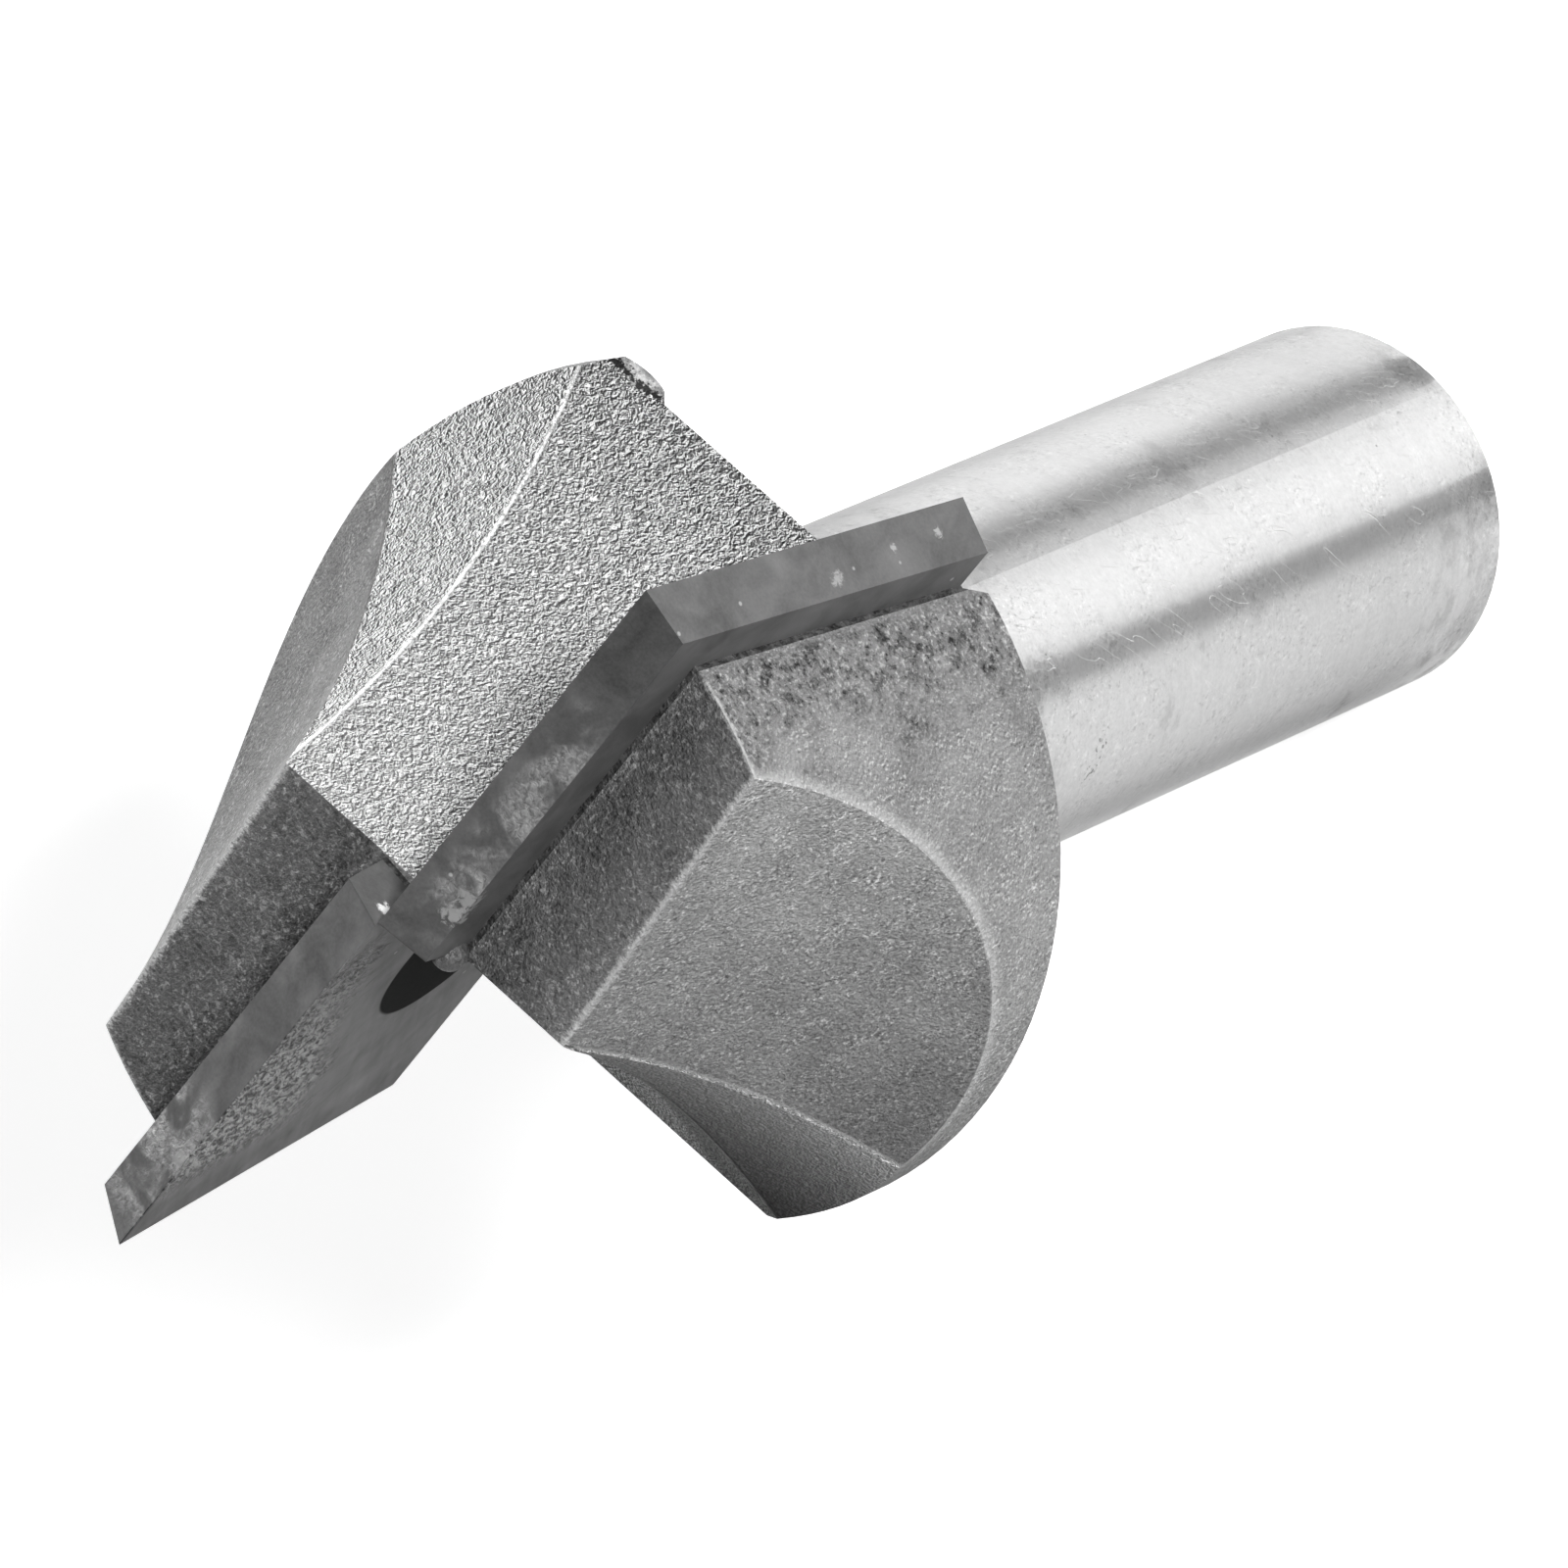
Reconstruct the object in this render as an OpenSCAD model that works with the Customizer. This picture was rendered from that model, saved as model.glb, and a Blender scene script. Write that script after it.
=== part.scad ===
// Two-flute flat-bottom endmill with brazed carbide blades.
// Millimetres. The tool stands on the end of its shank, with the cutting end up.
// The cutting edges lie along X, and the second wing is the first one turned half a turn.

/* [Shank] */
// Diameter of the shank
shank_d = 12.7; // [10:0.1:16]
// Length of the shank, from its end to the shoulder of the head
shank_len = 39.1; // [25:0.1:80]
// Size of the broken edge at the end of the shank
end_chamfer = 0.3; // [0.1:0.1:1.2]
// Radius of the fillet between the shank and the shoulder
neck_fillet = 0.7; // [0.3:0.1:1.2]

/* [Head] */
// Diameter of the steel head at its shoulder
head_d = 27.9; // [26:0.1:29]
// Diameter of the steel head at its end faces
head_tip_d = 27.5; // [26:0.1:28]
// Length of the steel head, from the shoulder to its end faces
head_len = 14.45; // [14:0.05:18]

/* [Blades] */
// Diameter that the blades cut
cutting_d = 31.75; // [30:0.05:36]
// Length of the cutting edges along the axis
cutting_len = 15.9; // [13:0.1:16.3]
// How far the blades stand out beyond the end faces of the head
blade_stand = 2.45; // [1.5:0.05:3]
// Thickness of each blade
blade_t = 1.75; // [1.2:0.05:2.2]
// Lean of the side edge, so that it lifts the chips
shear_angle = 4.1; // [0:0.1:6]
// Clearance angle behind the end edge
end_clearance = 17; // [8:1:22]
// Clearance angle behind the side edge
side_clearance = 21; // [8:1:24]
// Half of the gap between the blades at the centre
centre_gap = 0.06; // [0.02:0.01:0.2]

/* [Notches] */
// Slope of the notch that frees the foot of each blade, against the axis
notch_slope = 24; // [10:1:35]
// How far in front of the back wall of the blade seat the notch starts
notch_start = 0.1; // [0.05:0.05:0.2]

/* [Braze] */
// Thickness of the braze between blade and steel
braze_t = 0.2; // [0.1:0.05:0.3]
// Radius of the drop of braze at the inner end of the first blade
drop_r = 0.6; // [0.5:0.05:0.8]
// Height of the middle of that drop above the end face of the head
drop_up = 0.4; // [0.1:0.05:0.45]

/* [Flutes] */
// Radius of the wheel that ground the flute floors
floor_wheel_r = 48; // [30:1:80]
// Turn of the flute floor, seen from the cutting end
floor_turn = 8.3; // [0:0.1:14]
// Distance of the floor from the axis at the end faces
floor_top = 0.45; // [0.4:0.05:1.2]
// Distance of the floor from the axis at the shoulder
floor_foot = 10.2; // [9:0.05:11.5]
// Radius of the wheel that ground the flute walls
wall_wheel_r = 32.5; // [25:0.5:60]
// Turn of the flute wall, seen from the cutting end
wall_turn = 52.3; // [46:0.1:58]
// Distance of the wall from the axis at the end faces
wall_top = 4.8; // [4:0.05:5.2]
// Distance of the wall from the axis at the shoulder
wall_foot = 14.65; // [13:0.05:15]

/* [Heels] */
// Radius of the wheel that ground the heels
heel_wheel_r = 30.5; // [25:0.5:60]
// Turn of the heel of the other wing, seen from the cutting end
heel_turn = 93.3; // [86:0.1:98]
// Distance of the heel from the axis at the end faces
heel_top = 6.35; // [5:0.05:7]
// Distance of the ground heel surface from the axis at the height of the shoulder
heel_foot = 16.4; // [15:0.05:18]

/* [Knocked rim] */
// Width of the lip that a knock pushed out of one flute rim
lip_w = 2.4; // [1:0.1:3]
// How far that lip stands below the shoulder
lip_out = 0.5; // [0.2:0.05:0.8]
// Width of the dent beside the lip
dent_w = 1.8; // [1:0.1:3]
// Depth of that dent
dent_depth = 0.2; // [0.1:0.05:0.4]
// How far down the slope of the floor the middle of the dent lies, past the rim
dent_drop = 0.5; // [0:0.1:0.7]
// Distance of lip and dent from the middle of the floor, along the rim
knock_place = 8.4; // [7:0.1:9]

/* [Hidden] */
$fn = 96;
head_top = shank_len + head_len;
tip = head_top + blade_stand;
blade_foot = tip - cutting_len;
// Where the back wall of the blade seat stands at the foot of the blade
seat_back = -cutting_len * tan(shear_angle) - (blade_t + braze_t) / cos(shear_angle);
cutting_r = cutting_d / 2;
// A length that reaches past the whole tool from anywhere in it
reach = 2 * (tip + cutting_d);
// A small overlap that keeps cuts clean
over = 0.5;

// Puts what is made for the first wing on the wing that side names
module on_wing(side) {
    rotate([0, 0, side == 1 ? 0 : 180]) children();
}

// Space in the lean of the cutting face, with its origin on the end edge
module in_blade_lean() {
    translate([0, 0, tip]) rotate([-shear_angle, 0, 0]) children();
}

// Everything in front of the cutting face of the first wing
module in_front_of_blade() {
    in_blade_lean() translate([-reach, 0, -reach]) cube([2 * reach, reach, 2 * reach]);
}

// A grinding wheel with a level axle, which cuts a hollow face
// from one distance at the end faces down to another at the shoulder
module wheel(wheel_r, turn, top, foot) {
    chord = norm([foot - top, head_len]);
    sag = sqrt(wheel_r * wheel_r - chord * chord / 4);
    out = (top + foot) / 2 + sag * head_len / chord;
    up = shank_len + head_len / 2 + sag * (foot - top) / chord;
    rotate([0, 0, turn]) translate([out, 0, up])
        rotate([90, 0, 0]) cylinder(r = wheel_r, h = reach, center = true, $fn = 180);
}

// The chip space in front of the first wing: a floor that runs out at the shoulder,
// and a wall that opens it towards the heel of the other wing
module flute() {
    intersection() {
        in_front_of_blade();
        union() {
            wheel(floor_wheel_r, floor_turn, floor_top, floor_foot);
            wheel(wall_wheel_r, wall_turn, wall_top, wall_foot);
        }
    }
}

// The hollow heel that follows the wall, on the back of the other wing
module heel() {
    wheel(heel_wheel_r, heel_turn, heel_top, heel_foot);
}

// A box in the lean of the blade, open past the tip, that grows round the blade by a margin
module blade_seat(margin) {
    intersection() {
        in_blade_lean() translate([centre_gap - margin, -blade_t - margin, -reach])
            cube([reach, blade_t + margin + over, 2 * reach]);
        translate([-reach, -reach, blade_foot - margin]) cube([2 * reach, 2 * reach, reach]);
    }
}

// The notch below the outer end of the blade foot, which runs out through the shoulder
module foot_notch() {
    intersection() {
        translate([floor_foot, seat_back + notch_start, blade_foot]) rotate([-notch_slope, 0, 0])
            translate([0, 0, -reach]) cube([reach, reach, 2 * reach]);
        translate([-reach, -reach, blade_foot - reach]) cube([2 * reach, 2 * reach, reach]);
    }
}

// The turned form of shank and head, before any cut
module turned_blank() {
    cylinder(r1 = shank_d / 2 - end_chamfer, r2 = shank_d / 2, h = end_chamfer);
    translate([0, 0, end_chamfer]) cylinder(d = shank_d, h = shank_len - end_chamfer + over);
    translate([0, 0, shank_len]) cylinder(d1 = head_d, d2 = head_tip_d, h = head_len);
    rotate_extrude() difference() {
        translate([shank_d / 2 - over, shank_len - neck_fillet])
            square([neck_fillet + over, neck_fillet + over]);
        translate([shank_d / 2 + neck_fillet, shank_len - neck_fillet]) circle(r = neck_fillet);
    }
}

// The radius of a ball that shows a cap of this width and height
function cap_r(width, height) = (width * width / 4 + height * height) / (2 * height);

// Space at the knock on the rim of the first flute, where its floor meets the shoulder
module at_knock() {
    rotate([0, 0, floor_turn]) translate([floor_foot, knock_place, shank_len]) children();
}

// The lip, which the flute floor still has to trim
module knocked_lip() {
    lip_r = cap_r(lip_w, lip_out);
    intersection() {
        at_knock() translate([0, 0, lip_r - lip_out]) sphere(r = lip_r);
        translate([0, 0, shank_len - head_len]) cylinder(d = head_d, h = head_len);
    }
}

// The dent in the flute floor beside the lip
module knock_dent() {
    dent_r = cap_r(dent_w, dent_depth);
    at_knock() rotate([0, -45, 0]) translate([dent_r - dent_depth, 0, -dent_drop]) sphere(r = dent_r);
}

// The steel, in one piece from the shank to the end faces
module tool_body() {
    color("silver") difference() {
        union() {
            turned_blank();
            knocked_lip();
        }
        for (side = [1, 2]) on_wing(side) {
            flute();
            heel();
            blade_seat(braze_t);
            foot_notch();
        }
        knock_dent();
    }
}

// One carbide blade: a plate with a flat cutting face and clearance behind both edges
module blade(side) {
    run_out = blade_t * tan(side_clearance);
    color("dimgray") on_wing(side) intersection() {
        in_blade_lean() translate([0, 0, -reach]) linear_extrude(2 * reach)
            polygon([[centre_gap, 0], [cutting_r, 0], [cutting_r - run_out, -blade_t], [centre_gap, -blade_t]]);
        translate([0, 0, tip]) rotate([end_clearance, 0, 0])
            translate([-reach, -reach, -reach]) cube([2 * reach, 2 * reach, reach]);
        translate([-reach, -reach, blade_foot]) cube([2 * reach, 2 * reach, reach]);
    }
}

// The drop of braze that stands on the end face, at the inner end of the first blade,
// and runs down into the braze in the seat
module braze_drop() {
    difference() {
        translate([centre_gap - braze_t, -blade_t, head_top + drop_up]) sphere(r = drop_r);
        difference() {
            translate([-reach, -reach, head_top - reach]) cube([2 * reach, 2 * reach, reach]);
            blade_seat(braze_t);
        }
        blade_seat(0);
    }
}

// The braze under, behind and beside one blade
module braze(side) {
    color("darkgray") on_wing(side) union() {
        difference() {
            intersection() {
                blade_seat(braze_t);
                turned_blank();
            }
            blade_seat(0);
            in_front_of_blade();
            foot_notch();
        }
        if (side == 1) braze_drop();
    }
}

tool_body();
blade(1);  // blade_1
blade(2);  // blade_2
braze(1);  // braze_1
braze(2);  // braze_2
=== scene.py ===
"""Looks, light and camera of the endmill.

In the materials, lengths are in millimetres and tones are linear greys from 0 to 1. A name that
starts with on_ is 1 on its face and 0 off it.
"""
import math

import bpy
from mathutils import Matrix, Vector

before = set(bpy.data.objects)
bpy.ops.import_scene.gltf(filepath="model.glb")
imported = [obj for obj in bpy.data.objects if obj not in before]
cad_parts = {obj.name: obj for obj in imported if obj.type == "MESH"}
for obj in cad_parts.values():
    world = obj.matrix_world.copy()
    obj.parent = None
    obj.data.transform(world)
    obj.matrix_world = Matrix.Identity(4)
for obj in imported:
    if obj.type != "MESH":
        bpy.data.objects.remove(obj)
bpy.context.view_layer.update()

# One millimetre in the metres of the scene
MM = 0.001
# The head runs from its shoulder to its end faces
SHOULDER_Z = 39.1
HEAD_LEN = 14.45
END_FACE_Z = SHOULDER_Z + HEAD_LEN
TIP_Z = 56.0
SHANK_R = 6.35
HEAD_R = 13.95
# How far the cutting faces lean for each millimetre along the axis
SHEAR = math.tan(math.radians(4.1))
# Turn, radius, and distance from the axis at the end faces and at the shoulder,
# for the grinding wheel of each hollow face
WHEELS = {
    "floor": (8.3, 48.0, 0.45, 10.2),
    "wall": (52.3, 32.5, 4.8, 14.65),
    "heel": (93.3, 30.5, 6.35, 16.4),
}
# How the plane between the two halves of the head leans from the x axis
HALF_LEAN = 0.085
# Shift along the axis that gives each half of the head patterns of its own
HALF_SHIFT = 40.0

# Bare tones, before grain, wear and stains
SHANK_TONE = 0.74
FLUTE_TONE = 0.43
HEEL_TONE = 0.37
SIDE_TONE = 0.325
END_TONE = 0.118
WORN_EDGE_TONE = 0.57
CARBIDE_TONE = 0.145
BRAZE_TONE = 0.08
# Tones of single marks
LIP_TONE = 0.5
# Tone of the painted shade along the crease of the knock
CREASE_SHADE_TONE = 0.03
BRIGHT_DOT_TONE = 0.75
# Tone of the painted shadow on the second blade
PAINTED_SHADOW_TONE = 0.01

# The crease in front of the knocked lip, point by point, and the middle of that lip
CREASE = [
    (8.7, 10.95, 39.1),
    (8.79, 10.29, 39.02),
    (8.78, 9.79, 39.02),
    (8.95, 9.15, 39.07),
    (9.3, 8.6, 39.1),
]
LIP_MIDDLE = (9.0, 9.9, 38.9)
# The ends of a row of pits on the shank
PIT_ROW = ((2.2, -5.96, 25.2), (3.3, -5.43, 24.7))
# Middle of the painted shadow on the second blade, a dark disc, in folded x and z
PAINTED_SHADOW_MIDDLE = (4.9, 0.0, 45.5)
# Spots on the blades: place, size and tone. The first three are painted highlights, the others braze
BRAZE_SPOTS_AND_HIGHLIGHTS = [
    ((-0.06, 0.33, 55.07), 0.3, 0.85),
    ((2.19, -1.57, 55.52), 0.5, 0.4),
    ((2.9, -1.65, 55.49), 0.5, 0.36),
    ((15.41, -1.84, 47.41), 0.28, 0.36),
    ((15.58, -1.77, 41.95), 0.2, 0.4),
    ((15.56, -1.67, 44.26), 0.15, 0.4),
    ((-12.0, 0.15, 55.9), 0.5, 0.36),
]

# Azimuth of the camera, in degrees
VIEW_AZIMUTH = -21.95
# The rays that see the plain background
RAY_KINDS = ("Is Camera Ray", "Is Glossy Ray", "Is Transmission Ray")
# Strength at which the camera and mirrored rays see the floor, on top of the light that falls on it
FLOOR_GLOW = 0.67
MIRRORED_FLOOR_GLOW = 0.3
# Strength of the world as light on the object
WORLD_LIGHT = 0.09
# Dark cards in the air: azimuth and elevation in degrees, then distance, width and height in metres
FLAGS = {
    "flag_top": (158, 62, 1.0, 1.3, 1.1),
    "flag_a": (28, 38, 1.19, 0.5, 1.9),
    "flag_b": (-43, 38, 1.19, 0.42, 1.9),
    "flag_c": (-128, 38, 1.2, 0.55, 1.9),
    "flag_d": (92, 38, 1.2, 0.35, 1.9),
}
# Grey cards on the table: the two azimuths on the shank between which they show, in degrees,
# then their tone, and how near to the shank they start and how far they reach, in metres
TABLE_CARDS = {
    "card_a": (3, 14.5, 0.43, 0.0, 0.25),
    "card_a_far": (3, 14.5, 0.33, 0.016, 0.25),
    "card_b": (-37, -28.5, 0.48, 0.0, 0.25),
    "card_c": (-46, -37, 0.77, 0.0, 0.017),
    "card_d": (-100, -74, 0.74, 0.004, 0.25),
    "card_e": (42, 48, 0.6, 0.0, 0.25),
    "card_f": (-74, -46, 0.9, 0.003, 0.015),
    "card_g": (19, 41.5, 0.88, 0.0, 0.01),
}


class Value:
    """A socket of a node tree that can be used in sums."""

    def __init__(self, graph, socket):
        self.graph = graph
        self.socket = socket

    def __add__(self, other):
        return self.graph.math("ADD", self, other)

    def __radd__(self, other):
        return self.graph.math("ADD", other, self)

    def __sub__(self, other):
        return self.graph.math("SUBTRACT", self, other)

    def __rsub__(self, other):
        return self.graph.math("SUBTRACT", other, self)

    def __mul__(self, other):
        return self.graph.math("MULTIPLY", self, other)

    def __rmul__(self, other):
        return self.graph.math("MULTIPLY", other, self)

    def __truediv__(self, other):
        return self.graph.math("DIVIDE", self, other)


class Graph:
    """Builds a node tree from short calls."""

    def __init__(self, tree):
        self.tree = tree
        tree.nodes.clear()

    def put(self, value, socket):
        if isinstance(value, Value):
            self.tree.links.new(value.socket, socket)
        else:
            socket.default_value = value

    def node(self, kind, inputs, **settings):
        node = self.tree.nodes.new(kind)
        for name, value in settings.items():
            setattr(node, name, value)
        for key, value in inputs.items():
            self.put(value, node.inputs[key])
        return node

    def math(self, operation, *values):
        node = self.node("ShaderNodeMath", dict(enumerate(values)), operation=operation)
        return Value(self, node.outputs[0])

    def most(self, a, b):
        return self.math("MAXIMUM", a, b)

    def least(self, a, b):
        return self.math("MINIMUM", a, b)

    def size_of(self, value):
        return self.math("ABSOLUTE", value)

    def vector(self, operation, *values, out="Vector"):
        node = self.node("ShaderNodeVectorMath", dict(enumerate(values)), operation=operation)
        return Value(self, node.outputs[out])

    def moved(self, vector, offset):
        return self.vector("ADD", vector, offset)

    def distance(self, a, b):
        return self.vector("DISTANCE", a, b, out="Value")

    def along(self, vector, direction):
        return self.vector("DOT_PRODUCT", vector, tuple(direction), out="Value")

    def scaled(self, vector, factor):
        node = self.node("ShaderNodeVectorMath", {0: vector, "Scale": factor}, operation="SCALE")
        return Value(self, node.outputs[0])

    def combine(self, x, y, z):
        node = self.node("ShaderNodeCombineXYZ", {0: x, 1: y, 2: z})
        return Value(self, node.outputs[0])

    def step(self, value, low, high):
        """0 below low, 1 above high, smooth between them."""
        inputs = {"Value": value, "From Min": low, "From Max": high}
        node = self.node("ShaderNodeMapRange", inputs, interpolation_type="SMOOTHSTEP")
        return Value(self, node.outputs[0])

    def fade(self, value, low, high):
        """1 below low, 0 above high, smooth between them."""
        return 1.0 - self.step(value, low, high)

    def mix(self, share, a, b):
        """a where share is 0, b where share is 1."""
        node = self.node("ShaderNodeMix", {0: share, 2: a, 3: b})
        return Value(self, node.outputs[0])

    def noise(self, vector, scale, detail=2.0, rough=0.5, twist=0.0):
        """A cloudy pattern round 0.5."""
        inputs = {"Vector": vector, "Scale": scale, "Detail": detail}
        inputs["Roughness"] = rough
        inputs["Distortion"] = twist
        node = self.node("ShaderNodeTexNoise", inputs)
        return Value(self, node.outputs[0])

    def sway(self, pattern, amount):
        """A pattern round 0.5 as a swing round 0."""
        return (pattern - 0.5) * amount

    def hairlines(self, vector, scale, width):
        """Fine lines where a noise passes through its middle."""
        return self.fade(self.size_of(self.noise(vector, scale, 1.0) - 0.5), 0.0, width)

    def dots(self, vector, scale, size, share):
        """Small dots in a share of the cells of a grid, 1 in their middle."""
        node = self.node("ShaderNodeTexVoronoi", {"Vector": vector, "Scale": scale})
        pick = self.node("ShaderNodeSeparateColor", {0: Value(self, node.outputs["Color"])})
        chosen = self.step(Value(self, pick.outputs[0]), 1.0 - share, 1.0 - share + 0.01)
        return self.fade(Value(self, node.outputs["Distance"]), size * 0.5, size) * chosen

    def from_line(self, point, start, end):
        """Distance from a point to the stretch of line between two others."""
        stretch = Vector(end) - Vector(start)
        away = self.vector("SUBTRACT", point, start)
        share = self.along(away, stretch / stretch.length_squared)
        share = self.least(self.most(share, 0.0), 1.0)
        return self.distance(away, self.scaled(self.combine(*stretch), share))

    def pulled(self, vector, direction, factor):
        """Makes the patterns that use a vector longer along a direction, by a factor."""
        unit = Vector(direction).normalized()
        pull = self.scaled(self.combine(*unit), self.along(vector, unit) * (1.0 - 1.0 / factor))
        return self.vector("SUBTRACT", vector, pull)


def material(name):
    made = bpy.data.materials.new(name)
    made.use_nodes = True
    return made, Graph(made.node_tree)


def finish_material(g, inputs, height, constants):
    """Adds the shader, with relief from a height in millimetres."""
    bump = g.node("ShaderNodeBump", {"Height": height, "Distance": MM, "Strength": 1.0})
    shader = g.node("ShaderNodeBsdfPrincipled", inputs)
    for name, value in constants.items():
        shader.inputs[name].default_value = value
    g.tree.links.new(bump.outputs[0], shader.inputs["Normal"])
    output = g.node("ShaderNodeOutputMaterial", {})
    g.tree.links.new(shader.outputs[0], output.inputs[0])


def place_mm(g):
    """The point on the part, in millimetres, as a vector and its three numbers."""
    coords = g.node("ShaderNodeTexCoord", {})
    place = g.scaled(Value(g, coords.outputs["Object"]), 1.0 / MM)
    parts = g.node("ShaderNodeSeparateXYZ", {0: place})
    return place, [Value(g, socket) for socket in parts.outputs]


def inside_wheel(g, name, x, y, z):
    """How deep a point lies inside the grinding wheel of one hollow face."""
    turn, wheel_r, top, foot = WHEELS[name]
    chord = math.hypot(foot - top, HEAD_LEN)
    sag = math.sqrt(wheel_r * wheel_r - chord * chord / 4)
    out = (top + foot) / 2 + sag * HEAD_LEN / chord
    up = SHOULDER_Z + HEAD_LEN / 2 + sag * (foot - top) / chord
    angle = math.radians(turn)
    across = x * math.cos(angle) + y * math.sin(angle) - out
    rise = z - up
    return wheel_r - g.math("SQRT", across * across + rise * rise)


def down_face(name):
    """The direction straight down one hollow face, at its middle."""
    turn, _, top, foot = WHEELS[name]
    angle = math.radians(turn)
    outward = foot - top
    return Vector((outward * math.cos(angle), outward * math.sin(angle), -HEAD_LEN)).normalized()


def across_face(name):
    """The level direction along one hollow face."""
    angle = math.radians(WHEELS[name][0])
    return Vector((-math.sin(angle), math.cos(angle), 0.0))


class SteelPoint:
    """Where a point of the steel lies.

    Both halves of the head have the same faces, so the faces are worked out in numbers that are
    folded onto the half where y is positive: fx, fy and folded. The half where y is negative is
    the minus half.
    """

    def __init__(self, g):
        self.place, (self.x, self.y, self.z) = place_mm(g)
        self.side = g.math("SIGN", self.y + self.x * HALF_LEAN)
        self.minus_half = g.fade(self.side, -0.1, 0.1)
        self.fx = self.x * self.side
        self.fy = self.y * self.side
        self.folded = g.combine(self.fx, self.fy, self.z + self.side * HALF_SHIFT)
        self.radius = g.math("SQRT", self.x * self.x + self.y * self.y)
        # Distance behind the plane of the cutting face
        self.behind = (self.z - TIP_Z) * SHEAR + self.fy

        floor, wall, self.heel = [inside_wheel(g, name, self.fx, self.fy, self.z) for name in WHEELS]
        self.from_ridge = g.size_of(wall - floor)

        shoulder = g.step(self.z, SHOULDER_Z - 0.5, SHOULDER_Z - 0.3)
        shoulder = shoulder * g.step(self.radius, SHANK_R + 0.25, SHANK_R + 0.75)
        self.on_head = g.most(shoulder, g.step(self.z, SHOULDER_Z + 0.02, SHOULDER_Z + 0.06))
        self.on_end = g.step(self.z, END_FACE_Z - 0.03, END_FACE_Z - 0.01)
        off_end = 1.0 - self.on_end
        self.on_flute = g.step(g.most(floor, wall), -0.12, -0.05) * off_end
        self.on_wall = g.step(wall - floor, -0.05, 0.05) * self.on_flute
        self.on_heel = g.step(self.heel, -0.08, -0.04) * (1.0 - self.on_flute) * off_end
        self.on_side = off_end * (1.0 - self.on_heel) * (1.0 - self.on_flute) * self.on_head


class HeadGrain:
    """Patterns that the faces of the head share."""

    def __init__(self, g, p):
        self.ragged = g.noise(p.folded, 3.4, 3.0, 0.75)
        self.fringe = g.noise(p.folded, 6.5, 2.0, 0.7)
        self.uneven = g.sway(self.ragged, 0.3) + g.sway(self.fringe, 0.2)
        self.blotches = g.noise(p.folded, 0.45, 3.0, 0.6)
        self.coarse = g.noise(p.folded, 3.2, 3.0, 0.7)
        self.speckle = g.noise(p.folded, 6.2, 1.5, 0.6)
        self.fine = g.noise(p.folded, 9.0, 1.5, 0.6)
        self.light_specks = g.step(self.speckle * 0.75 + self.coarse * 0.25, 0.53, 0.68)
        self.dark_specks = g.fade(self.speckle * 0.7 + self.coarse * 0.3, 0.34, 0.47)

        # Painted light and shade on the grains: bright on the side toward the light and dark on the
        # other
        grains = (6.0, 1.5, 0.6)
        toward_light = g.moved(p.folded, g.combine(p.side * 0.006, p.side * 0.055, 0.012))
        relief_light = g.noise(p.folded, *grains) - g.noise(toward_light, *grains)
        patchy = 0.4 + g.step(g.noise(p.folded, 1.3, 2.0, 0.6), 0.4, 0.62) * 0.6
        self.glints = g.step(relief_light, 0.05, 0.17) * patchy
        self.relief_shade = g.fade(relief_light, -0.17, -0.06) * patchy
        # The fine grain together with its painted glints and shade
        self.grit_and_relief_light = g.sway(self.fine, 0.3) + self.glints * 0.34 - self.relief_shade * 0.16


class FluteGrain:
    """The blasted grain of the flutes: short worms that follow each face, with painted light on their
    crests and painted shade in their gaps.
    """

    def __init__(self, g, p):
        on_floor = 1.0 - p.on_wall
        floor_across = across_face("floor")
        wall_across = across_face("wall")
        floor_place = g.pulled(p.folded, down_face("floor") - floor_across * 0.3, 1.15)
        wall_place = g.pulled(p.folded, down_face("wall"), 1.2)
        place = g.moved(g.scaled(floor_place, on_floor), g.scaled(wall_place, p.on_wall))
        across_x = g.mix(p.on_wall, floor_across.x, wall_across.x)
        across_y = g.mix(p.on_wall, floor_across.y, wall_across.y)
        # Painted light and shade: each worm is compared with the grain a little way across the face
        toward_light = g.moved(place, g.scaled(g.combine(across_x, across_y, 0.0), 0.055))
        worms = (6.4, 2.0, 0.65, 1.1)
        self.height = g.noise(place, *worms)
        relief_light = self.height - g.noise(toward_light, *worms)
        self.lit_crests = g.step(relief_light + g.sway(self.height, 0.5), 0.0, 0.1)
        self.shaded_gaps = g.fade(relief_light + g.sway(self.height, 0.4), -0.16, -0.04)
        self.waves = g.noise(place, 1.1, 3.0, 0.6)


def ridge_highlight_share(g, p, grain):
    """The ragged ridge between floor and wall, worn and given a painted highlight, faint on the minus
    half of the head.
    """
    width = 0.06 + g.step(p.z, 42.0, 50.0) * 0.045
    from_line = p.from_ridge + g.sway(grain.fringe, 0.26) + g.sway(grain.ragged, 0.12)
    above_rim = g.step(p.z + g.sway(grain.ragged, 2.0), SHOULDER_Z + 0.5, SHOULDER_Z + 1.5)
    strength = g.mix(p.minus_half, 1.0, 0.074)
    return g.fade(from_line / width, 0.0, 1.0) * p.on_flute * above_rim * strength


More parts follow.
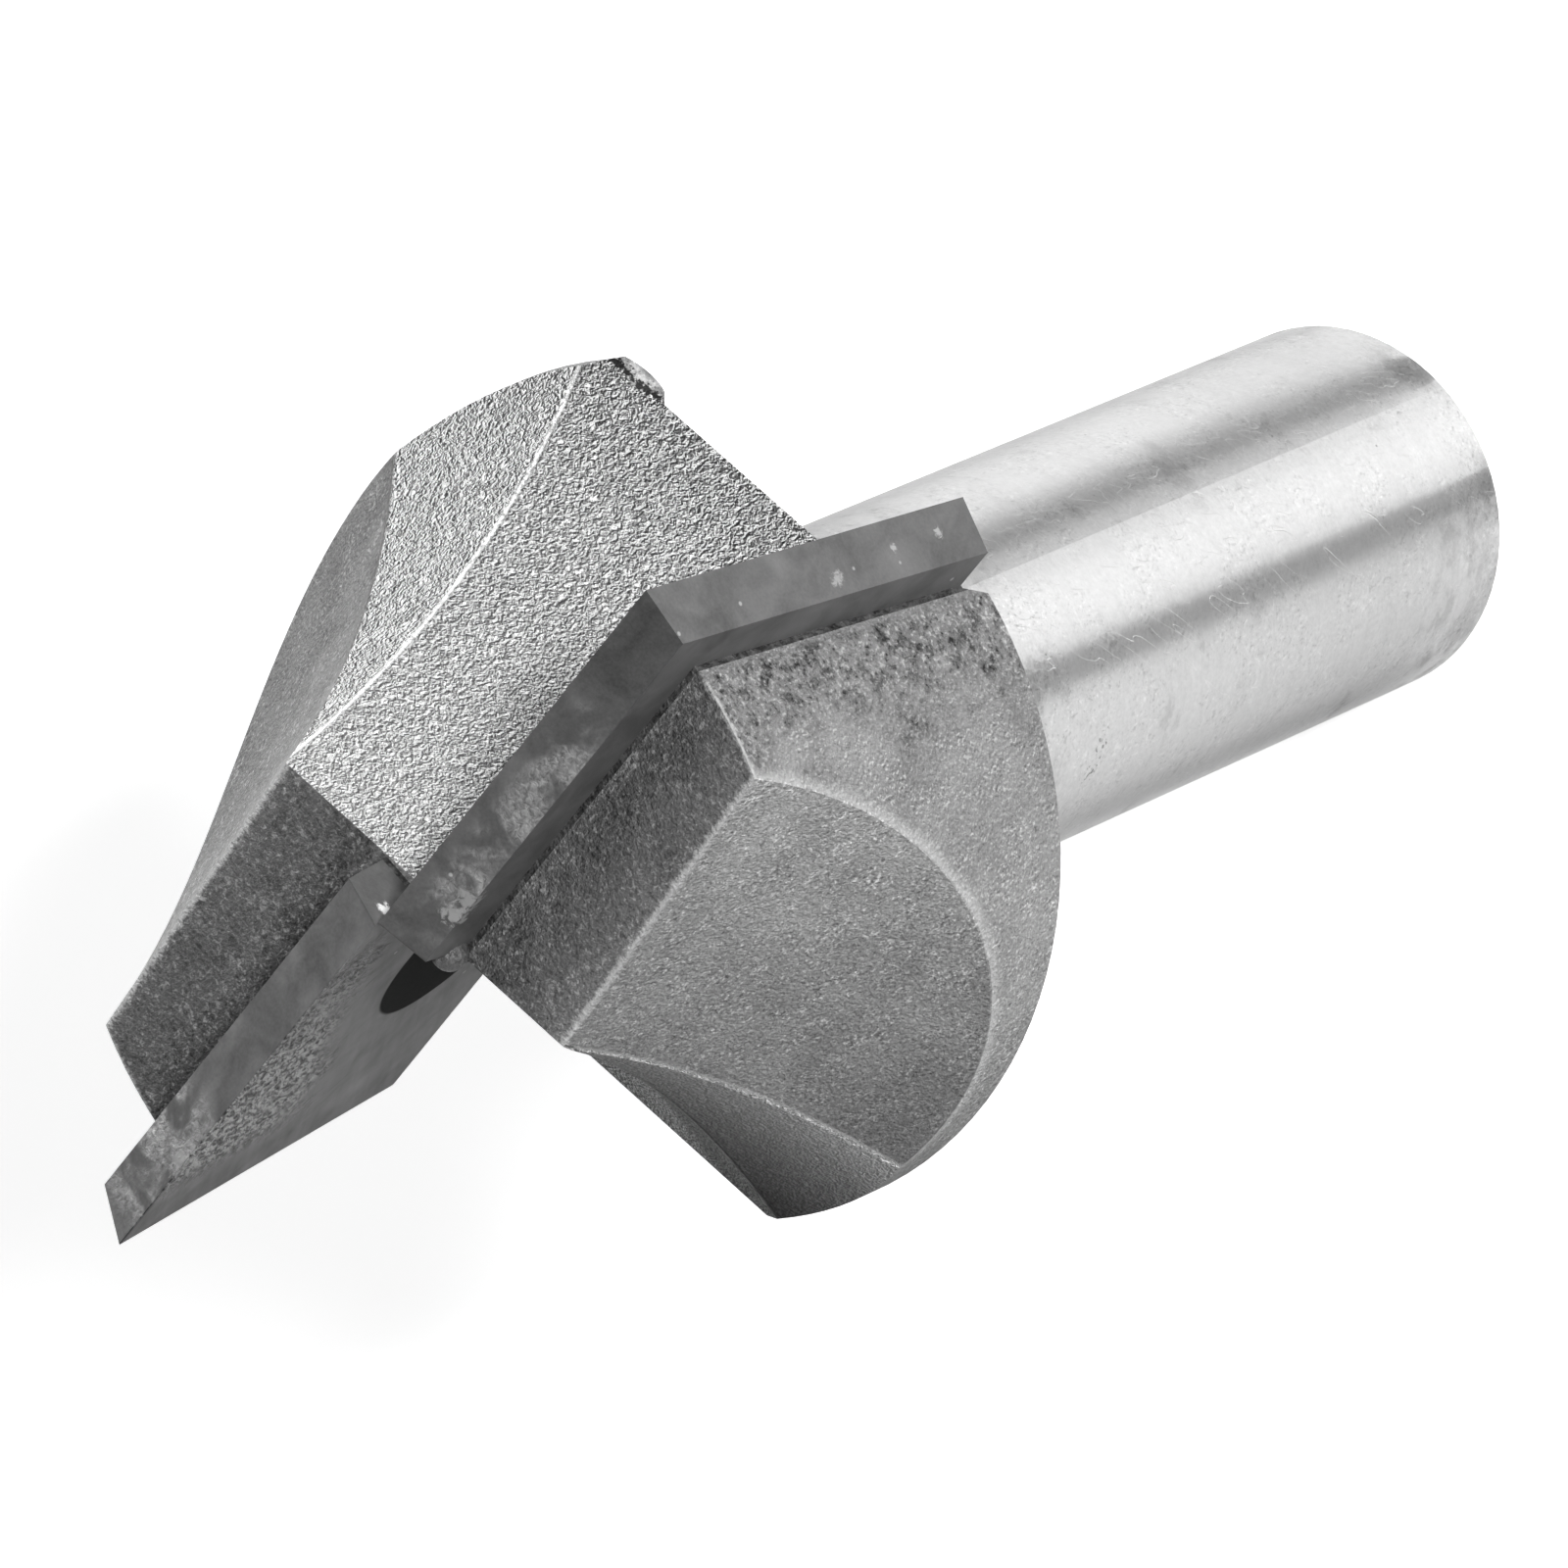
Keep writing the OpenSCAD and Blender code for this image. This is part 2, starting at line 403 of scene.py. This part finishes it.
def flute_tone(g, p, grain, flute, ridge_highlight):
    # The wall of the second flute carries painted shade and weaker grain
    shaded_wall = p.on_wall * p.minus_half
    contrast = (1.0 - shaded_wall * 0.75) * (1.0 + p.on_wall * 0.25)
    tone = FLUTE_TONE - p.on_wall * 0.01 + (flute.lit_crests * 0.88 - flute.shaded_gaps * 0.3) * contrast
    tone = tone + g.sway(flute.waves, 0.12) + (p.z - 46.5) * 0.01 + ridge_highlight * 0.5

    # Dark towards the rim, with bright burrs on it
    narrow = g.fade(p.z + g.sway(grain.ragged, 0.6), SHOULDER_Z + 0.05, SHOULDER_Z + 0.4)
    broad = g.fade(p.z + g.sway(flute.waves, 2.0), SHOULDER_Z + 0.1, SHOULDER_Z + 2.9)
    dark_rim = narrow + broad * 0.8
    burrs = g.fade(p.z + g.sway(grain.ragged, 0.8), SHOULDER_Z + 0.05, SHOULDER_Z + 0.25)
    burrs = burrs * g.step(grain.fringe, 0.5, 0.6)
    tone = g.most(tone - dark_rim * 0.13 + burrs * 0.45, 0.05)

    # Painted shade on the second flute: its wall darkens outwards, and its floor beside the ridge is
    # darker
    wall_shade = 1.13 + (p.fy - 10.1) * 0.063 - (p.fx - 2.6) * 0.135 + g.sway(grain.fringe, 0.3)
    wall_shade = g.math("POWER", g.most(wall_shade, 0.5), 2.2) * 0.77
    shaded_floor = (1.0 - p.on_wall) * p.minus_half * g.fade(p.from_ridge, 1.0, 2.0)
    return tone * g.mix(shaded_wall, 1.0, wall_shade) * (1.0 - shaded_floor * 0.55)


def heel_tone(g, p, grain):
    """The heels, each with painted shading of its own: a slow change from light to dark."""
    # Painted shading across each heel, a different one on each half
    minus_shade = 1.01 - (p.fx + 4.9) * 0.036 - (p.fy - 9.2) * 0.145 - (p.z - 47.3) * 0.072
    plus_shade = 1.01 + (p.fy - 10.6) * 0.083 + (p.z - 45.1) * 0.132
    shade = g.mix(p.minus_half, plus_shade, minus_shade)
    shade = g.least(g.most(shade, 0.6), 1.5)
    return (HEEL_TONE + grain.grit_and_relief_light + g.sway(grain.blotches, 0.3)) * shade


def side_tone(g, p, grain):
    """The turned sides, burnt and clumpy beside the blade seats and light along the heels."""
    near_seat = g.step(p.behind, 1.9, 2.3) * g.fade(p.behind + g.sway(grain.blotches, 5.0), 3.6, 6.4)
    clumps = g.noise(p.folded, 1.5, 4.0, 0.8)
    clumps = (g.step(clumps, 0.5, 0.58) - g.fade(clumps, 0.38, 0.46) * 0.6) * near_seat
    burnt = grain.light_specks * 0.32 - grain.dark_specks * 0.17 + grain.glints * 0.2 - 0.04
    specks = g.mix(near_seat, grain.grit_and_relief_light * 0.85, burnt)
    by_heel = g.step(p.heel + grain.uneven * 1.5, -0.55, -0.1) * (1.0 - p.on_heel) * (1.0 - p.on_end)
    tone = SIDE_TONE + specks + g.sway(grain.blotches, 0.24)
    tone = tone - clumps * 0.15 - near_seat * 0.02 + by_heel * 0.17
    return tone * (0.95 + g.least(p.fx + 11.2, 4.0) * 0.06)


def end_tone(g, p, grain):
    """The dark end faces, lighter towards their two long edges."""
    specks = g.noise(p.folded, 4.4, 2.5, 0.65, 0.6)
    scratches = g.hairlines(g.pulled(p.folded, (0.85, 0.5, 0.0), 12.0), 3.0, 0.006)
    tone = END_TONE + p.minus_half * 0.012 + g.step(specks, 0.54, 0.68) * 0.14 + grain.glints * 0.1
    tone = tone - g.fade(specks, 0.34, 0.46) * 0.045 + g.sway(grain.blotches, 0.12) + scratches * 0.05
    from_middle = p.fy - 4.2
    tone = tone * (0.92 + from_middle * from_middle * 0.09) * (1.0 + p.minus_half * 0.16)
    near_seat = g.step(p.behind, 1.9, 2.1) * g.fade(p.behind + g.sway(grain.coarse, 3.0), 2.6, 3.6)
    return tone - near_seat * 0.05


def worn_edges(g, p, grain):
    """Edges of heels, sides and end faces that handling has worn bright."""
    to_heel = g.fade(g.size_of(p.heel) + grain.uneven * 1.5, 0.02, 0.25)
    to_end = g.step(p.z + grain.uneven, END_FACE_Z - 0.2, END_FACE_Z - 0.07)
    to_side = g.step(p.radius + grain.uneven, HEAD_R - 0.35, HEAD_R - 0.2)
    worn = p.on_end * g.most(to_heel, to_side * 0.6) + p.on_heel * to_end
    worn = worn + p.on_side * g.most(to_heel * 0.6, to_end * 0.8)
    return g.least(worn * g.step(p.behind, 2.2, 2.5), 1.0)


def knocked(g, p, grain, tone):
    """Adds the light lip of the knock and painted shade along the crease in front of it."""
    lip = g.fade(g.distance(p.place, LIP_MIDDLE), 1.2, 1.5)
    lip = lip * g.fade(p.z, SHOULDER_Z - 0.12, SHOULDER_Z - 0.04)
    lip_tone = LIP_TONE + grain.light_specks * 0.5 - grain.dark_specks * 0.34 + g.sway(grain.fringe, 0.5)
    away = g.from_line(p.place, CREASE[0], CREASE[1])
    for start, end in zip(CREASE[1:], CREASE[2:]):
        away = g.least(away, g.from_line(p.place, start, end))
    # Painted shade along the crease, where the dent is shaded
    crease_shade = g.fade(away + g.sway(grain.ragged, 0.7) + g.sway(grain.fringe, 0.5), 0.08, 0.19)
    return g.mix(crease_shade, g.mix(lip, tone, lip_tone), CREASE_SHADE_TONE)


def head_looks(g, p):
    """Tone, roughness, metal and height of the head."""
    grain = HeadGrain(g, p)
    flute = FluteGrain(g, p)
    # Painted highlight along the worn ridge
    ridge_highlight = ridge_highlight_share(g, p, grain)
    tone = g.mix(p.on_heel, side_tone(g, p, grain), heel_tone(g, p, grain))
    tone = g.mix(p.on_flute, tone, flute_tone(g, p, grain, flute, ridge_highlight))
    tone = g.mix(p.on_end, tone, end_tone(g, p, grain))
    tone = g.mix(worn_edges(g, p, grain), tone, WORN_EDGE_TONE + g.sway(grain.fringe, 0.5))
    tone = knocked(g, p, grain, tone)
    bright_dots = g.dots(g.scaled(p.folded, 1.0 + g.sway(grain.coarse, 0.002)), 1.0, 0.085, 0.14)
    tone = g.mix(bright_dots * (1.0 - p.on_flute), tone, BRIGHT_DOT_TONE)

    rough = g.mix(p.on_flute, 0.55, g.mix(p.on_wall, 0.45, 0.55))
    metal = g.mix(p.on_flute, 0.25, g.mix(p.on_wall, 0.35, 0.15))
    flute_height = flute.height * 0.5 * g.step(p.from_ridge, 0.03, 0.09) + ridge_highlight * 0.08
    plain_height = grain.fine * 0.07 + grain.speckle * 0.05 + grain.coarse * 0.1
    return g.most(tone, 0.02), rough, metal, g.mix(p.on_flute, plain_height, flute_height)


def shank_looks(g, p):
    """Tone, roughness and height of the shank: ground lines, scratches, dents with painted light and
    shade, and cloudy stains.
    """
    turn = g.math("ARCTAN2", p.y, p.x)
    lines = g.noise(g.combine(turn * 1.5, p.z * 8.0, 0.0), 1.0, 3.0, 0.7)
    broad_lines = g.noise(g.combine(turn * 0.8, p.z * 1.6, 4.0), 1.0, 2.0, 0.6)
    mottle = g.noise(p.place, 3.0, 3.0, 0.7)
    grain = g.noise(p.place, 6.0, 2.0, 0.7)
    tone = SHANK_TONE + g.sway(lines, 0.07) + g.sway(broad_lines, 0.08)
    tone = tone + g.sway(mottle, 0.15) + g.sway(grain, 0.1)

    # Specks, and small dents with painted light on one side and painted shade on the other, more of them
    # near the head
    near_head = g.step(p.z, 22.0, 37.0)
    busy = g.step(g.noise(p.place, 0.5, 2.0), 0.4, 0.6) * 0.6 + near_head * 0.5
    specks = g.step(grain, 0.6, 0.7) * 0.14 - g.fade(grain, 0.3, 0.4) * 0.16
    dents = (3.2, 2.5, 0.6, 0.6)
    dent_relief_light = g.noise(p.place, *dents) - g.noise(g.moved(p.place, (0.02, 0.09, 0.03)), *dents)
    dents_lit_and_shaded = g.step(dent_relief_light, 0.08, 0.18) * 0.14 - g.fade(dent_relief_light, -0.18, -0.08) * 0.2
    tone = tone + (specks + dents_lit_and_shaded) * busy

    # Stains at both ends, a mist below the head, and a darker part below the head where y is positive
    stains = g.noise(g.combine(p.x, p.y, p.z * 1.3), 0.42, 6.0, 0.75)
    near_end = g.fade(p.z, 0.5, 6.0)
    stained = g.step(stains + near_head * 0.08 + near_end * 0.11, 0.55, 0.68)
    mist = g.step(p.z + g.sway(stains, 12.0), 27.0, 38.0)
    dark_patch = g.step(p.z + g.sway(stains, 14.0), 23.0, 35.0)
    dark_patch = dark_patch * g.step(turn + g.sway(mottle, 0.5), 0.0, 0.35)
    tone = tone - stained * 0.09 - mist * 0.08 - dark_patch * (0.2 + g.sway(grain, 0.5))

    scratches = g.hairlines(g.pulled(p.place, (0.5, 0.4, 0.8), 40.0), 1.6, 0.005)
    tiny_pits = g.dots(p.place, 1.6, 0.1, 0.03)
    pit_row = g.fade(g.from_line(p.place, *PIT_ROW), 0.15, 0.5)
    pit_row = pit_row * g.fade(g.noise(p.place, 5.0, 2.0, 0.7), 0.38, 0.44)
    tone = tone + scratches * 0.08 - tiny_pits * 0.4 - pit_row * 0.5

    rough = 0.31 + g.sway(lines, 0.06) + stained * 0.12
    height = lines * 0.008 - scratches * 0.004 - stained * 0.004
    return tone, rough, height


def steel_material():
    made, g = material("tool_steel_ground_and_blasted")
    p = SteelPoint(g)
    head_tone, head_rough, head_metal, head_height = head_looks(g, p)
    shank_tone, shank_rough, shank_height = shank_looks(g, p)
    inputs = {
        "Base Color": g.mix(p.on_head, shank_tone, head_tone),
        "Roughness": g.mix(p.on_head, shank_rough, head_rough),
        "Metallic": g.mix(p.on_head, 1.0, head_metal),
        "Tangent": g.combine(p.on_end, 0.0, 1.0 - p.on_end),
    }
    height = g.mix(p.on_head, shank_height, head_height)
    finish_material(g, inputs, height, {"Anisotropic": 1.0, "Specular IOR Level": 0.3})
    return made


class BladePoint:
    """Where a point of a blade lies, with x and y folded onto the first blade: fx and fy."""

    def __init__(self, g):
        self.place, (x, y, self.z) = place_mm(g)
        side = g.math("SIGN", x)
        self.on_first = g.step(side, -0.1, 0.1)
        self.on_second = 1.0 - self.on_first
        self.fx = x * side
        self.fy = y * side
        self.deep = TIP_Z - self.z
        # Distance behind the plane of the cutting face
        self.behind = (self.z - TIP_Z) * SHEAR - self.fy
        self.on_face = g.fade(self.behind, 0.02, 0.05)
        self.on_second_face = self.on_face * self.on_second
        shape = g.node("ShaderNodeNewGeometry", {})
        normal = g.node("ShaderNodeSeparateXYZ", {0: Value(g, shape.outputs["True Normal"])})
        self.on_strip = g.step(Value(g, normal.outputs[2]), 0.8, 0.9)


def smears_share(g, p, clouds, ragged):
    """Pale braze that ran over the end strips."""
    first = g.fade(g.size_of(p.fx - 6.0) / 6.0 + ragged * 0.35, 0.5, 1.1) * g.step(p.behind, 0.2, 0.9)
    second = g.fade(g.size_of(p.fx - 12.6) / 3.0 + ragged * 0.35, 0.6, 1.1)
    return g.mix(p.on_first, second, first) * g.step(clouds + ragged * 0.05, 0.4, 0.58) * p.on_strip


def film_share(g, p, clouds, ragged):
    """A granular film of braze along the cutting edge of the second blade."""
    away = p.deep / (p.fx * 0.56 + 1.2) + ragged * 0.25 + g.sway(clouds, 1.2)
    outer_end = g.fade(p.fx + ragged * 1.2, 12.0, 14.0)
    inner_end = g.step(p.fx + ragged, 1.0, 3.0)
    return g.fade(away, 0.6, 1.1) * outer_end * inner_end * p.on_second_face


def painted_shadow_share(g, p):
    """A painted shadow on the second blade: a dark disc, darkest in its upper outer part."""
    away = g.distance(g.combine(p.fx, 0.0, p.z), PAINTED_SHADOW_MIDDLE)
    fully = g.step(p.z + p.fx * 1.5, 53.6, 56.4)
    return g.fade(away, 4.1, 4.25) * p.on_second_face * (0.35 + fully * 0.65)


def carbide_material():
    made, g = material("carbide_ground")
    p = BladePoint(g)
    clouds = g.noise(p.place, 0.5, 3.0, 0.6, 0.5)
    fine = g.noise(p.place, 9.0, 2.0, 0.6)
    ragged = g.sway(g.noise(p.place, 1.4, 4.0, 0.75, 0.8), 1.6)
    bright_dots = g.dots(p.place, 0.9, 0.09, 0.25)
    tone = CARBIDE_TONE + (clouds - 0.5) * (0.2 + p.on_strip * p.on_second * 0.06)
    tone = tone + g.sway(fine, 0.06) + bright_dots * 0.25

    # Braze on the strips and on one face
    grains = g.noise(g.pulled(p.place, (0.582, 0.0, 0.813), 2.6), 5.0, 2.0, 0.7, 0.5)
    smears = smears_share(g, p, clouds, ragged)
    film = film_share(g, p, clouds, ragged)
    film_tone = g.step(grains, 0.44, 0.6) * 0.36 - g.fade(grains, 0.32, 0.44) * 0.16
    film_tone = film_tone * (0.4 + g.step(p.fx, 3.0, 8.0) * 0.6)
    tone = tone + smears * (0.13 + g.sway(grains, 0.7)) + film * film_tone

    # Grinding streaks, and darker places near the outer ends and along the second end edge
    streaks = g.noise(g.pulled(p.place, (0.72, 0.0, 0.5), 9.0), 2.2, 2.0, 0.6)
    strip_end = g.step(p.fx, 11.0, 13.0) * p.on_first * p.on_strip
    face_end = g.step(p.fx + (ragged - 0.5) * 0.4, 13.6, 14.6) * p.on_second_face
    edge_line = g.fade(p.deep + (ragged + 0.8) * 0.06, 0.12, 0.26) * g.step(p.fx, 9.5, 11.0)
    tone = tone + g.sway(streaks, 0.1) * p.on_face
    tone = tone - strip_end * 0.04 - face_end * 0.045 - edge_line * p.on_second_face * 0.1
    # Painted shade on the inner end faces of the blades
    tone = g.most(tone, 0.03) * (1.0 - g.fade(p.fx, 0.08, 0.15) * 0.2)

    # Painted highlights and spots of braze
    spot_edge = g.sway(g.noise(p.place, 4.5, 3.0, 0.7, 0.8), 3.0)
    for centre, size, spot_tone in BRAZE_SPOTS_AND_HIGHLIGHTS:
        spot = g.fade(g.distance(p.place, centre) / size + spot_edge, 0.4, 1.1)
        tone = g.mix(spot, tone, spot_tone)
    # The painted shadow on the second blade, dark and dull
    dark_patch = painted_shadow_share(g, p)
    inputs = {
        "Base Color": g.mix(dark_patch, tone, PAINTED_SHADOW_TONE),
        "Roughness": 0.45 + g.sway(fine, 0.2) + dark_patch * 0.4,
        "Metallic": 0.2 * (1.0 - dark_patch),
    }
    height = fine * 0.004 + film * grains * 0.5 + smears * grains * 0.08
    finish_material(g, inputs, height, {"Specular IOR Level": 0.08})
    return made


def braze_material():
    made, g = material("braze_dull")
    place, (_, _, z) = place_mm(g)
    lumps = g.noise(place, 2.2, 3.0, 0.6)
    raised = g.step(z, END_FACE_Z - 0.1, END_FACE_Z + 0.3)
    tone = BRAZE_TONE + g.sway(lumps, 0.3) + raised * 0.08
    rough = 0.45 + g.sway(lumps, 0.3)
    inputs = {"Base Color": g.most(tone, 0.02), "Roughness": rough, "Metallic": 0.5}
    finish_material(g, inputs, lumps * 0.35, {"Specular IOR Level": 0.3})
    return made


def floor_material():
    made, g = material("studio_floor")
    place, _ = place_mm(g)
    mottle = g.noise(place, 0.01, 2.0)
    path = g.node("ShaderNodeLightPath", {})
    seen, glossy, passed = [Value(g, path.outputs[name]) for name in RAY_KINDS]
    inputs = {
        "Base Color": 0.8 + g.sway(mottle, 0.02),
        "Roughness": 0.9,
        "Emission Color": (1, 1, 1, 1),
        "Emission Strength": seen * FLOOR_GLOW + g.most(glossy, passed) * MIRRORED_FLOOR_GLOW,
    }
    finish_material(g, inputs, mottle, {"Specular IOR Level": 0.1})
    return made


def light_world():
    world = bpy.data.worlds.new("studio")
    bpy.context.scene.world = world
    world.use_nodes = True
    g = Graph(world.node_tree)
    path = g.node("ShaderNodeLightPath", {})
    seen, glossy, passed = [Value(g, path.outputs[name]) for name in RAY_KINDS]
    strength = g.mix(g.most(g.most(seen, glossy), passed), WORLD_LIGHT, 1.0)
    shader = g.node("ShaderNodeBackground", {"Color": (1, 1, 1, 1), "Strength": strength})
    output = g.node("ShaderNodeOutputWorld", {})
    g.tree.links.new(shader.outputs[0], output.inputs[0])


def aim(direction, distance):
    """A matrix that stands off the head of the tool and looks at it."""
    away = Vector(direction).normalized()
    turn = away.to_track_quat("Z", "Y").to_matrix().to_4x4()
    return Matrix.Translation(Vector((0.0, 0.0, 0.045)) + away * distance) @ turn


def turned(azimuth, elevation):
    """A direction from an azimuth and an elevation in degrees."""
    turn = math.radians(azimuth)
    rise = math.radians(elevation)
    return (math.cos(turn) * math.cos(rise), math.sin(turn) * math.cos(rise), math.sin(rise))


def area_light(name, direction, distance, width, height, power, hidden_from):
    data = bpy.data.lights.new(name, "AREA")
    data.shape = "RECTANGLE"
    data.size = width
    data.size_y = height
    data.energy = power
    lamp = bpy.data.objects.new(name, data)
    lamp.matrix_world = aim(direction, distance)
    lamp.visible_camera = False
    setattr(lamp, hidden_from, False)
    bpy.context.scene.collection.objects.link(lamp)


def card_material(name, tone):
    made, g = material(name)
    place, _ = place_mm(g)
    weave = g.noise(place, 0.05, 2.0)
    inputs = {"Base Color": tone + g.sway(weave, 0.02), "Roughness": 0.9}
    finish_material(g, inputs, weave, {"Specular IOR Level": 0.1})
    return made


def flat_sheet(name, corners, finish):
    """One flat piece of the studio, from its four corners."""
    mesh = bpy.data.meshes.new(name)
    mesh.from_pydata(corners, [], [(0, 1, 2, 3)])
    mesh.materials.append(finish)
    sheet = bpy.data.objects.new(name, mesh)
    bpy.context.scene.collection.objects.link(sheet)
    return sheet


def rectangle(width, height):
    x = width / 2
    y = height / 2
    return [(-x, -y, 0), (x, -y, 0), (x, y, 0), (-x, y, 0)]


def reflection_card(name, corners, finish):
    """A card that only reflections see, as photographers use for metal."""
    card = flat_sheet(name, corners, finish)
    card.visible_camera = False
    card.visible_diffuse = False
    card.visible_shadow = False
    return card


def table_corners(first, last, near, far):
    """The corners of a card on the table that the shank mirrors between two azimuths.

    What the camera sees in the shank at an azimuth lies on a line over the table, which leaves
    the shank at twice that azimuth less the camera's.
    """
    corners = []
    for azimuth, away in ((first, near), (last, near), (last, far), (first, far)):
        around = math.radians(azimuth)
        out = 2 * around - math.radians(VIEW_AZIMUTH)
        x = SHANK_R * MM * math.cos(around) + away * math.cos(out)
        y = SHANK_R * MM * math.sin(around) + away * math.sin(out)
        # A card that starts farther out lies a little higher, on top of one that it overlaps
        corners.append((x, y, 0.0002 + near * 0.01))
    return corners


def studio():
    flat_sheet("floor", rectangle(8.0, 8.0), floor_material())
    light_world()
    area_light("key", (0.765, -0.262, 0.588), 0.95, 0.12, 0.12, 8.9, "visible_glossy")
    area_light("side", (0.43, 0.88, 0.27), 0.9, 0.42, 1.0, 8.0, "visible_glossy")
    area_light("key_panel", turned(-9, 35), 1.2, 0.6, 0.9, 6.0, "visible_diffuse")
    area_light("side_panel", turned(67, 30), 1.2, 0.75, 1.2, 4.0, "visible_diffuse")
    dark = card_material("studio_flag", 0.03)
    for name, (azimuth, elevation, distance, width, height) in FLAGS.items():
        flag = reflection_card(name, rectangle(width, height), dark)
        flag.matrix_world = aim(turned(azimuth, elevation), distance)
    for name, (first, last, tone, near, far) in TABLE_CARDS.items():
        reflection_card(name, table_corners(first, last, near, far), card_material(name, tone))


def photo_camera():
    """The camera that was fitted to the photo."""
    data = bpy.data.cameras.new("photo")
    data.sensor_width = 36.0
    data.lens = 311.07
    data.clip_start = 0.01
    camera = bpy.data.objects.new("photo", data)
    right = Vector((0.5236, -0.6417, -0.5603))
    up = Vector((0.636, 0.7321, -0.2441))
    back = Vector((0.5669, -0.2285, 0.7915))
    axes = Matrix((right, up, back)).transposed().to_4x4()
    camera.matrix_world = Matrix.Translation((0.24401, -0.09948, 0.37575)) @ axes
    bpy.context.scene.collection.objects.link(camera)
    bpy.context.scene.camera = camera


def dress_nodes():
    """Gives each node of the part its material, and softens the edges of the steel."""
    steel = steel_material()
    carbide = carbide_material()
    braze = braze_material()
    finishes = {
        "tool_body": steel,
        "blade_1": carbide,
        "blade_2": carbide,
        "braze_1": braze,
        "braze_2": braze,
    }
    for name, finish in finishes.items():
        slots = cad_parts[name].data.materials
        slots.clear()
        slots.append(finish)
    soft_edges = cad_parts["tool_body"].modifiers.new("soft_edges", "BEVEL")
    soft_edges.width = 0.12 * MM
    soft_edges.segments = 2
    soft_edges.limit_method = "ANGLE"
    soft_edges.angle_limit = math.radians(30)


dress_nodes()
photo_camera()
studio()
bpy.context.scene.view_settings.view_transform = "Standard"
